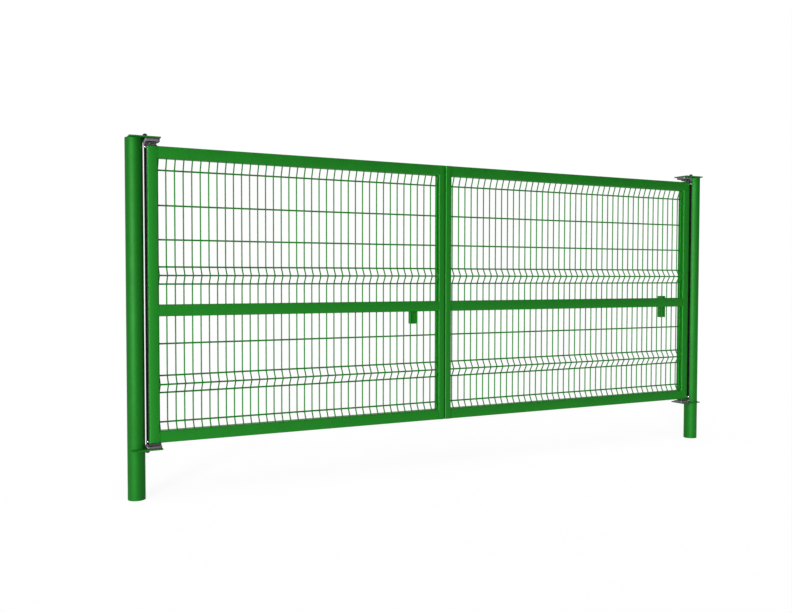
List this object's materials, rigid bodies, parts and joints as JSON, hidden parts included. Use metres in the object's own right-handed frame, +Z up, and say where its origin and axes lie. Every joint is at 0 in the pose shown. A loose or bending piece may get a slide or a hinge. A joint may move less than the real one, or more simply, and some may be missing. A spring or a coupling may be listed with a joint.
{
  "type": "double swing gate",
  "caption": "Double swing gate: two framed leaves of folded welded mesh on round posts, turning on full-height pivot rods.",
  "frame": {"origin": "centre of the left post's foot, at ground level", "axes": "+X along the closed gate from the left post to the right post, +Y to the rear, +Z up; the leaves open toward -Y"},
  "size_m": [4.417, 0.136, 2.096],
  "materials": {
    "green_paint": "gloss green powder coat",
    "green_wire": "green powder coat on welded wire",
    "dark_iron": "satin charcoal coat on steel",
    "dark_fixing": "dark plated nuts and washers",
    "polished_steel": "polished steel"
  },
  "bodies": {
    "posts": {"left_post": "green_paint", "right_post": "green_paint", "left_top_hinge_plate": "green_paint", "left_bottom_hinge_plate": "green_paint", "right_top_hinge_plate": "green_paint", "right_bottom_hinge_plate": "green_paint", "left_top_bearing_plate": "dark_iron", "left_bottom_bearing_plate": "dark_iron", "right_top_bearing_plate": "dark_iron", "right_bottom_bearing_plate": "dark_iron", "left_pivot_rod": "dark_iron", "right_pivot_rod": "dark_iron", "left_ball_collars": "polished_steel", "right_ball_collars": "polished_steel", "left_rod_nuts": "dark_fixing", "right_rod_nuts": "dark_fixing"},
    "left_leaf": {"left_hinge_stile": "green_paint", "left_meeting_stile": "green_paint", "left_stile_caps": "green_paint", "left_top_rail": "green_paint", "left_middle_rail": "green_paint", "left_bottom_rail": "green_paint", "left_upper_mesh": "green_wire", "left_lower_mesh": "green_wire", "left_rail_lug": "green_paint", "left_top_bearing_arm": "dark_iron", "left_bottom_bearing_arm": "dark_iron"},
    "right_leaf": {"right_hinge_stile": "green_paint", "right_meeting_stile": "green_paint", "right_stile_caps": "green_paint", "right_top_rail": "green_paint", "right_middle_rail": "green_paint", "right_bottom_rail": "green_paint", "right_upper_mesh": "green_wire", "right_lower_mesh": "green_wire", "right_rail_lug": "green_paint", "right_top_bearing_arm": "dark_iron", "right_bottom_bearing_arm": "dark_iron"}
  },
  "joints": [
    {"name": "left_leaf_swing", "type": "hinge", "parent": "posts", "child": "left_leaf", "pos_m": [0.058, -0.03, 0.32], "axis": [0, 0, -1], "range_deg": [0, 120]},
    {"name": "right_leaf_swing", "type": "hinge", "parent": "posts", "child": "right_leaf", "pos_m": [4.259, -0.03, 0.32], "axis": [0, 0, 1], "range_deg": [0, 120]}
  ]
}
